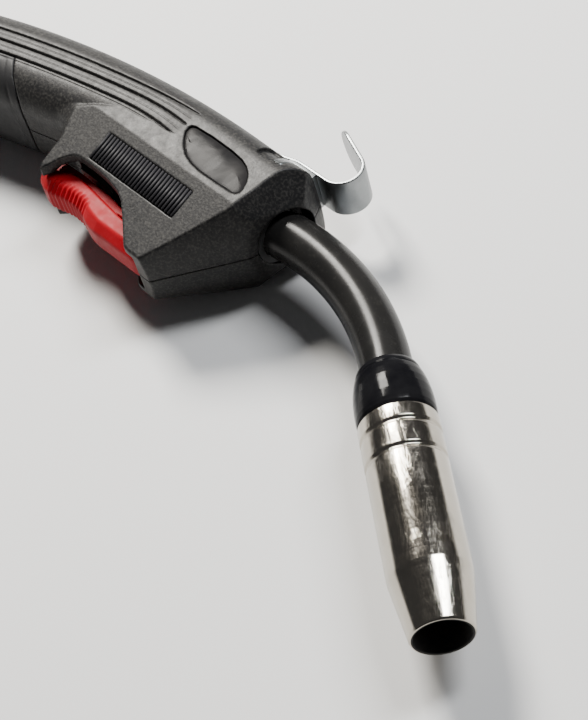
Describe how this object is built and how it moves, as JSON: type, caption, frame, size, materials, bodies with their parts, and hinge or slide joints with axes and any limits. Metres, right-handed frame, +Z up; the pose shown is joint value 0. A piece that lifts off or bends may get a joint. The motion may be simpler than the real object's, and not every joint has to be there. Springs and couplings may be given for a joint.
{
  "type": "mig welding torch",
  "caption": "Hand-held MIG welding torch with a curved handle, squeeze trigger, swan neck, push-on gas nozzle and a folded hanging hook.",
  "frame": {"origin": "in the flat side of the left half shell, which the torch lies on, under the front of the handle", "axes": "+X along the handle towards the nozzle, +Y towards the hanging hook on the back of the handle, +Z up out of the right-hand side; the split plane of the handle is level"},
  "size_m": [0.2805, 0.0874, 0.03],
  "materials": {
    "shell_plastic": "moulded charcoal plastic with a fine spark-eroded texture",
    "soft_grip": "soft matt black grip",
    "badge_gloss": "smooth glossy dark plate, left blank",
    "trigger_red": "satin red plastic",
    "pin_steel": "ground steel",
    "switch_body": "matt dark phenolic",
    "switch_red": "smooth red plastic",
    "brass": "turned brass",
    "copper": "drawn copper with light tarnish",
    "neck_black": "smooth satin black sleeve",
    "seal_black": "matt black rubber",
    "liner_steel": "wound steel",
    "insulator_black": "polished black heat-resistant plastic",
    "nozzle_nickel": "nickel plate, turned, with fine scratches",
    "hook_zinc": "bright zinc plate",
    "screw_black": "blackened steel",
    "collar_black": "matt black rubber collar"
  },
  "bodies": {
    "torch": {"right_shell": "shell_plastic", "left_shell": "shell_plastic", "grip_pad": "soft_grip", "badge_right": "badge_gloss", "badge_left": "badge_gloss", "trigger_pin": "pin_steel", "microswitch": "switch_body", "switch_terminals": "brass", "switch_pins": "pin_steel", "neck_block": "brass", "adapter_nut": "brass", "neck_tube": "copper", "neck_sleeve": "neck_black", "neck_seal": "seal_black", "neck_liner": "liner_steel", "gas_diffuser": "brass", "contact_tip": "copper", "nozzle_insulator": "insulator_black", "nozzle_spring": "liner_steel", "hanging_hook": "hook_zinc", "screw_front": "screw_black", "screw_top": "screw_black", "screw_rear": "screw_black", "rear_collar": "collar_black"},
    "trigger": {"trigger": "trigger_red"},
    "plunger": {"switch_plunger": "switch_red"},
    "nozzle": {"gas_nozzle": "nozzle_nickel"}
  },
  "joints": [
    {"name": "trigger_pivot", "type": "hinge", "parent": "torch", "child": "trigger", "pos_m": [0.007, -0.017, 0.015], "axis": [0, 0, -1], "range_deg": [0, 4], "stiffness_Nm_per_rad": 1.2, "springref_deg": -1.72},
    {"name": "plunger_slide", "type": "slide", "parent": "torch", "child": "plunger", "axis": [0, 1, 0], "range_m": [0, 0.0021]},
    {"name": "nozzle_pull", "type": "slide", "parent": "torch", "child": "nozzle", "axis": [0.8231, -0.5678, 0], "range_m": [0, 0.055]}
  ],
  "couplings": [
    {"joint": "plunger_slide", "follows": "trigger_pivot", "m_per_rad": 0.0278}
  ]
}
